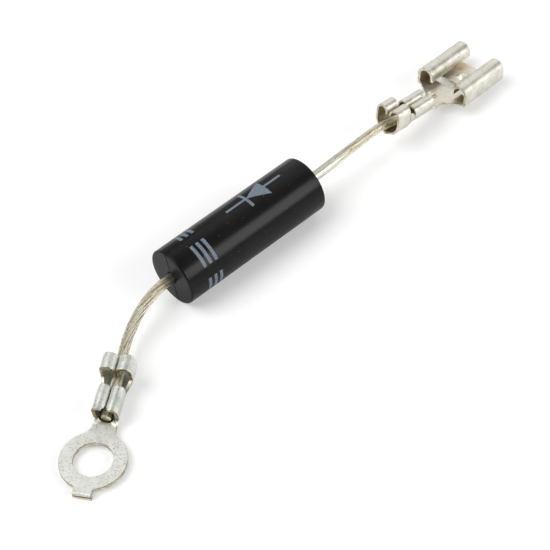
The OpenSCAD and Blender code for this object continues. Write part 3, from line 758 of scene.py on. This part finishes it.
# Tinned brass sheet: dull whitish silver, clouded by the tin's bloom over about 1.5 mm, with brown grey
# specks of about 0.2 mm in crowds some 2 mm wide, drawn coarser than the pores they stand for.
tin, tree, shader, place, bloom, silver, matt = plated(
    "tinned_brass_sheet", 1.5, ((0.3, "#e1e3dc"), (0.5, "#e9ebe5"), (0.7, "#eef0eb")), (0.54, 0.6), 0.1)
pores = put(tree, "TexNoise", {"Vector": place, "Scale": 1 / (0.22 * MM), "Detail": 3.0})
crowds = put(tree, "TexNoise", {"Vector": place, "Scale": 1 / (2.0 * MM), "Detail": 2.0})
crowded = put(tree, "Math", {0: crowds, 1: 0.2, 2: pores}, operation="MULTIPLY_ADD")
plug(shader, {"Base Color": tinted(tree, silver, crowded, 0.6, 0.85, 0.6, "#a8987a")})

# Pressed tin: the crimping die left the same sheet smoother on the barrels.
pressed_tin = tin.copy()
pressed_tin.name = "die_pressed_tin"
plug(pressed_tin.node_tree.nodes[matt.name], {"To Min": 0.38, "To Max": 0.5})

# Sheared brass: where the punch cut the sheet, the break is bare, tan brass with some tin smeared over it,
# in patches of about 0.5 mm.
sheared = clouded("sheared_brass_edge", 0.5, 4.0, (0.35, "#c4b99e"), (0.5, "#dcd5c3"), (0.65, "#ece8dd"),
                  Metallic=1.0, Roughness=0.45)

# Burnished brass: the band of the cut edges that the punch rubbed, and the rounded edges, in streaks of
# about 0.4 mm, painted dark brown as the dark reflection that these shiny edges show.
burnish_dark_reflection = clouded("burnished_edge_painted_reflection", 0.4, 3.0, (0.35, "#7d735b"), (0.55, "#b0a58c"), (0.7, "#d6cfbe"),
                 Metallic=1.0, Roughness=0.4)

# Painted shade for folds and crevices: dark brown, clouded over patches of about 0.3 mm, put in the trough
# under the cut strands and in the crevice of the lug's foot.
fold_shade = clouded("painted_fold_shade", 0.3, 3.0, (0.35, "#241f17"), (0.65, "#4a4132"),
                 Metallic=0.5, Roughness=0.6)

# The ring's cut and rounded edges carry the painted dark reflection, and its folds the painted shade.
tinned = (tin, sheared, burnish_dark_reflection, fold_shade)
pressed_sheet = (pressed_tin, burnish_dark_reflection, burnish_dark_reflection, sheared)

ring_r = 3.9
hole_r = 2.3
neck_w = 2.8
neck_lap = 0.25
neck_reach = neck_end + ring_crimp["turn"] + neck_lap
fillet_r = 1.5
lug_end, lug_w = -4.5, 2.2
fillet_y = neck_w / 2 + fillet_r
fillet_x = math.sqrt((ring_r + fillet_r) ** 2 - fillet_y ** 2)


def in_ring(x, y):
    """Whether a point lies inside the outline of the ring, its neck and its lug."""
    y = abs(y)
    in_neck = 0 < x < neck_reach and y < neck_w / 2
    in_lug = lug_end < x < 0 and y < lug_w / 2
    by_fillet = 0 < x < neck_end and y < fillet_y * min(1, x / fillet_x)
    in_fillet = by_fillet and math.hypot(x - fillet_x, y - fillet_y) > fillet_r
    return math.hypot(x, y) < ring_r or in_neck or in_lug or in_fillet


def ring_edge(a):
    """Distance from the hole's middle to the outline in a direction, found by halving."""
    low, high = ring_r - 0.1, neck_reach + neck_w / 4
    for _ in range(40):
        middle = (low + high) / 2
        low, high = (middle, high) if in_ring(middle * math.cos(a), middle * math.sin(a)) else (low, middle)
    return low


# The plate is a band round the hole, with a direction at each corner of the outline and none too near one.
ring_steps, corner_room = 180, 0.006
corners = [math.atan2(s * y, x) for x, y in ((neck_reach, neck_w / 2), (lug_end, lug_w / 2)) for s in (-1, 1)]
angles = [a for a in (math.tau * i / ring_steps - math.pi for i in range(ring_steps))
          if min(abs(a - c) for c in corners) > corner_room]
angles = sorted(angles + [c * (1 - 1e-7) for c in corners])
cut_z = sheet_t * (1 - burnish)
edge, hole = [ring_edge(a) for a in angles], [hole_r] * len(angles)
bands = ((edge, 0, 1), (edge, cut_z, 2), (edge, sheet_t, 0),
         (hole, sheet_t, 2), (hole, cut_z, 1), (hole, 0, 0))
shape = bmesh.new()
loops = [[shape.verts.new((r * math.cos(a), r * math.sin(a), z)) for a, r in zip(angles, radii)]
         for radii, z, _ in bands]
for this, following, (_, _, kind) in zip(loops, loops[1:] + loops[:1], bands):
    for wall in band(shape, this, following):
        wall.material_index = kind

# The neck is sliced where it turns down into the trough, whose bottom takes the painted fold shade.
turn_slice = 0.105
dark_x, dark_bow, top_room = 0.7, 0.25, 0.01
for i in range(12):
    slice_at(shape, (neck_end + turn_slice * i, 0, 0), (1, 0, 0))
# Faces of the trough's bottom take the painted fold shade.
for face in shape.faces:
    middle = face.calc_center_median()
    in_trough = middle.x - neck_end > dark_x + dark_bow * (2 * middle.y / neck_w) ** 2
    if in_trough and middle.z > sheet_t - top_room:
        face.material_index = 3
for vert in shape.verts:
    x, y, z = vert.co
    if x > neck_end:
        vert.co = Vector((neck_end, 0, 0)) + neck_turn(ring_crimp, x - neck_end, y, z - sheet_t / 2)
bmesh.ops.transform(shape, matrix=Matrix.Scale(MM, 4) @ ring_seat, verts=shape.verts)
ring_plate = eased_mesh("ring", shape, tinned)

# The lug's tip is bent down to a foot, whose cut end has a crevice across it, painted dark as shade. Where it
# laps the plate, its faces lie a hair inside the plate's.
lug_tip, lug_foot, lug_bend_r = -4.7, 0.45, 0.2
lug_lap, hair = 0.1, 0.004
foot_z = -0.398
crevice_top, crevice_bottom, crevice_in = 0.2, -0.02, 0.09
lug_top = sheet_t - hair
foot = [(lug_end + lug_lap, lug_top), (lug_end, lug_top)]
foot += [at for at, _ in arc((lug_end, lug_top - lug_bend_r), lug_bend_r, 90, 180, 6)]
cut_first = len(foot) - 1
cut_kinds = {cut_first: 1, cut_first + 1: 3, cut_first + 2: 3, cut_first + 3: 1}
foot += [(lug_tip, crevice_top), (lug_tip + crevice_in, (crevice_top + crevice_bottom) / 2),
         (lug_tip, crevice_bottom), (lug_tip, foot_z), (lug_tip + lug_foot, foot_z),
         (lug_tip + lug_foot, hair), (lug_end + lug_lap, hair)]
shape = bmesh.new()
sides = [[shape.verts.new((ring_seat @ Vector((x, y, z))) * MM) for x, z in foot]
         for y in (-lug_w / 2, lug_w / 2)]
for i, wall in enumerate(band(shape, *sides)):
    wall.material_index = cut_kinds.get(i, 0)
for side in sides:
    shape.faces.new(side).material_index = 1
ring_foot = eased_mesh("foot", shape, tinned)

ring_barrels = crimped_barrels(ring_crimp, ring_neck_seat, pressed_sheet, 3, 0, 4.0)
ring_sheets = [ring_plate, ring_foot, ring_barrels]
piece_of("ring_terminal_sheet", ring_sheets, "tinned_sheet", "ring_terminal", sharp=20)

# Receptacle
# Stamped from thinner tinned brass sheet, 0.4 mm, for a flat tab: a floor whose sides are rolled in
# over the tab, with a slot and a detent bump in it, a tapered neck, and the same two crimped barrels.
sheet_t = tab_crimp["sheet"]
roll_half, roll_r, roll_h, roll_edge = 4.05, 1.24, 2.9, 1.2
bend_r = 0.5
roll_start, roll_l = 2.5, 8.2
slot_half, slot_ends = 2.7, (1.65, 3.0)
mouth_x = 7.4
detent_x, detent_r, detent_h, detent_slope = 4.9, 0.85, 0.27, 2.4

# Bright tinned brass: plated with more lustre than the ring's, champagne silver that clouds over about 1 mm,
# with straw specks, and a golden patch about 2.5 mm wide on the floor by the mouth, under the edge of a roll.
golden_patch_place = tab_seat @ Vector((8.8, 2.0, 0.4))
bright_tin, tree, shader, place, bloom, silver, _ = plated(
    "bright_tinned_brass", 1.0, ((0.3, "#dfdbcc"), (0.5, "#ece8dd"), (0.7, "#f5f3eb")), (0.34, 0.46), 0.25)
pores = put(tree, "TexNoise", {"Vector": place, "Scale": 1 / (0.25 * MM), "Detail": 2.0})
speckled = tinted(tree, silver, pores, 0.6, 0.74, 0.7, "#b09a6c")
from_stain = put(tree, "VectorMath", {0: place, 1: golden_patch_place * MM}, operation="DISTANCE")
ragged = put(tree, "Math", {0: bloom, 1: 2.0 * MM, 2: from_stain.outputs["Value"]},
             operation="MULTIPLY_ADD")
plug(shader, {"Base Color": tinted(tree, speckled, ragged, 2.7 * MM, 1.4 * MM, 0.8, "#d0b57e")})

# Tinned cut edge: plated after stamping, nearly as pale as the faces, with straw streaks of 0.4 mm.
pale_edge = clouded("tinned_cut_edge", 0.4, 3.0, (0.35, "#c3b695"), (0.5, "#ddd6c3"), (0.65, "#ebe8dd"),
                    Metallic=1.0, Roughness=0.4)

# Painted inner shade: inside the rolls and barrels the sheet is painted dull brown, in clouds of 0.8 mm,
# as the shade in there.
inner_shade_tin = clouded("painted_inner_shade_tin", 0.8, 4.0, (0.35, "#b3a686"), (0.65, "#cbc0a4"),
                    Metallic=1.0, Roughness=0.5)

bright = (bright_tin, pale_edge, pale_edge, inner_shade_tin)

# The section of the rolls, from the free edge of one over the floor to that of the other.
floor_z = sheet_t / 2
roll_y, roll_z = roll_half - roll_r, roll_h - roll_r
free_y, wall_y = roll_y - roll_r + sheet_t / 2, roll_half - sheet_t / 2
side_path = [((-free_y, roll_edge), (1, 0))]
side_path += straight((-free_y, roll_edge), (-free_y, roll_z), (1, 0), 2)
side_path += arc((-roll_y, roll_z), roll_r - sheet_t / 2, 0, 180, 24)
side_path += straight((-wall_y, roll_z), (-wall_y, bend_r), (-1, 0), 3)
side_path += arc((bend_r - roll_half, bend_r), bend_r - sheet_t / 2, 180, 270, 6)
margin_steps, slot_steps = 3, 30
floor_first = len(side_path) - 1
floor_last = floor_first + 2 * margin_steps + slot_steps
floor_path = straight((bend_r - roll_half, floor_z), (-slot_half, floor_z), (0, -1), margin_steps)
floor_path += straight((-slot_half, floor_z), (slot_half, floor_z), (0, -1), slot_steps)
floor_path += straight((slot_half, floor_z), (roll_half - bend_r, floor_z), (0, -1), margin_steps)
roll_path = side_path + floor_path + mirrored(side_path[:-1])
stations = sorted({0, roll_l, mouth_x, *slot_ends} | {round(0.2 * i, 3) for i in range(1, 41)})
dent_h, dents_along, dents_round, dents_from = 0.03, 0.5, 0.6, 9
faces = []
for side in (0.5, -0.5):
    rows = []
    for (y, z), (ny, nz) in roll_path:
        row = []
        for x in stations:
            reach = math.hypot(x - detent_x, y) / detent_r
            raised = z < sheet_t and reach < 1
            bulge = detent_h * min(1, detent_slope * (1 - reach)) if raised else 0
            spot = Vector((x * dents_along + dents_from, y * dents_round, z * dents_round))
            out = sheet_t * side + dent_h * noise.noise(spot)
            row.append(tab_seat @ Vector((roll_start + x, y + ny * out, z + nz * out + bulge)))
        rows.append(row)
    faces.append(rows)


def on_tab_floor(i, j):
    """The cells of the rolled sheet that the stamp left: all but the floor's slot and its cut-back mouth."""
    middle = (stations[j] + stations[j + 1]) / 2
    by_slot = floor_first + margin_steps <= i < floor_last - margin_steps
    in_slot = by_slot and slot_ends[0] < middle < slot_ends[1]
    return not in_slot and not (floor_first <= i < floor_last and middle > mouth_x)


def roll_lining(i, j):
    """The painted shade inside the rolls, and the bright sheet on the floor between them."""
    return 0 if floor_first + 2 * margin_steps <= i < floor_last - 2 * margin_steps else 3


tab_rolls = sheet_piece(*faces, bright, on_tab_floor, roll_lining)

# The neck tapers from the rolls to the width of the crimp, and turns down into its trough.
neck_half, neck_l, shoulder_half, shoulder_lap = 1.3, 0.9, 3.55, 0.3
taper_l = roll_start - neck_l
turn_l = tab_crimp["turn"]
turn_stations = [turn_l + neck_lap] + [turn_l - 0.1 * i for i in range(10)]
neck_stations = [(neck_l * i / 2, neck_half) for i in range(3)]
neck_stations += [(neck_l + taper_l * k, neck_half + (shoulder_half - neck_half) * k)
                  for k in (0.25, 0.5, 0.75, 1)]
neck_stations += [(roll_start + shoulder_lap, shoulder_half)]
neck_faces = [[[tab_neck_seat @ neck_turn(tab_crimp, x, -u * neck_half, off) for x in turn_stations]
               + [tab_seat @ Vector((x, half * u, floor_z + off)) for x, half in neck_stations]
               for u in (i / 8 - 1 for i in range(17))]
              for off in (hair - sheet_t / 2, sheet_t / 2 - hair)]
tab_neck = sheet_piece(*neck_faces, bright)

# The barrels' inner faces take the painted inner shade.
tab_barrels = crimped_barrels(tab_crimp, tab_neck_seat, bright, 2, 3, 17.0)

# A scrap of the strip that carried the stamping stands out under the insulation barrel.
carrier_half, carrier_bow, carrier_ends, carrier_hair = 0.25, 0.25, (-0.3, 0.2), 0.01
carrier_x = tab_crimp["turn"] + tab_crimp["wire"] + tab_crimp["web"] + tab_crimp["grip"]
carrier_z = -tab_crimp["drop"] - tab_crimp["grip_drop"]
carrier_seat = tab_neck_seat @ crimp_tilt(tab_crimp)
carrier = [[[carrier_seat @ Vector((carrier_x + x, y, carrier_z + z + carrier_bow * y * y))
             for x in carrier_ends] for y in (-carrier_half, 0, carrier_half)]
           for z in (carrier_hair, sheet_t - carrier_hair)]
tab_sheets = [tab_rolls, tab_neck, tab_barrels, sheet_piece(*carrier, bright)]
piece_of("receptacle_sheet", tab_sheets, "tinned_sheet", "receptacle_terminal", sharp=20)

# Table and light
# A white table top under a wide soft lamp, high on the left. Two weaker lamps stand on the right, one in
# front and one behind, and weak light comes from all round.
table_z, table_half = -0.4, 2000
table_mesh = bpy.data.meshes.new("table")
table_mesh.from_pydata([Vector((x * table_half, y * table_half, table_z)) * MM
                        for x, y in ((-1, -1), (1, -1), (1, 1), (-1, 1))], [], [(0, 1, 2, 3)])
table = in_scene("table", table_mesh)

# White card: matt, and lifted to the white of the backdrop where the camera sees it. In reflections it is
# lifted less, because they show the card near the diode, in its shade. Far off, where the lamps don't reach,
# the lift alone gives the white.
card, tree, shader, place = new_material("white_card", Roughness=0.9, Base_Color=linear("#e8e8e8"),
                                         Specular_IOR_Level=0.0)
seen = put(tree, "LightPath").outputs
reflected = put(tree, "Math", {0: seen["Is Glossy Ray"], 1: 0.25, 2: seen["Is Transmission Ray"]},
                operation="MULTIPLY_ADD")
shown = put(tree, "Math", {0: seen["Is Camera Ray"], 1: reflected}, operation="MAXIMUM")
off = put(tree, "VectorMath", {0: place}, operation="LENGTH")
far = put(tree, "MapRange", {"Value": off.outputs["Value"], "From Min": 200 * MM,
          "From Max": 700 * MM, "To Min": 0.24, "To Max": 1.0})
lift = put(tree, "Math", {0: shown, 1: far}, operation="MULTIPLY")
glow = put(tree, "Emission", {"Strength": lift})
both = put(tree, "AddShader", {0: shader, 1: glow})
plug(tree.nodes["Material Output"], {"Surface": both})
table_mesh.materials.append(card)


def lamp(name, at, size, power):
    """A square soft lamp at a place, aimed at the middle of the body."""
    light = bpy.data.lights.new(name, "AREA")
    light.size = size * MM
    light.energy = power
    holder = in_scene(name, light)
    aimed = (body_middle - Vector(at)).to_track_quat("-Z", "Y").to_matrix().to_4x4()
    holder.matrix_world = Matrix.Translation(Vector(at) * MM) @ aimed


lamp("key_lamp", (-420, 330, 710), 850, 7.5)
lamp("front_lamp", (325, -527, 345), 400, 2.6)
lamp("back_lamp", (480, 300, 380), 650, 0.95)

# The air round the table: white to the camera, and as light stronger from low down than from above.
world = bpy.data.worlds.new("studio")
bpy.context.scene.world = world
world.use_nodes = True
tree = world.node_tree
direction = put(tree, "TexCoord").outputs["Generated"]
height = put(tree, "SeparateXYZ", {0: direction})
sky = put(tree, "MapRange", {"Value": height.outputs["Z"], "From Min": 0.0, "From Max": 0.5, "To Min": 0.42,
          "To Max": 0.18})
seen = put(tree, "LightPath").outputs["Is Camera Ray"]
strength = put(tree, "Mix", {"Factor": seen, 2: sky, 3: 1.0}, data_type="FLOAT")
plug(tree.nodes["Background"], {"Strength": strength, "Color": linear("#ffffff")})
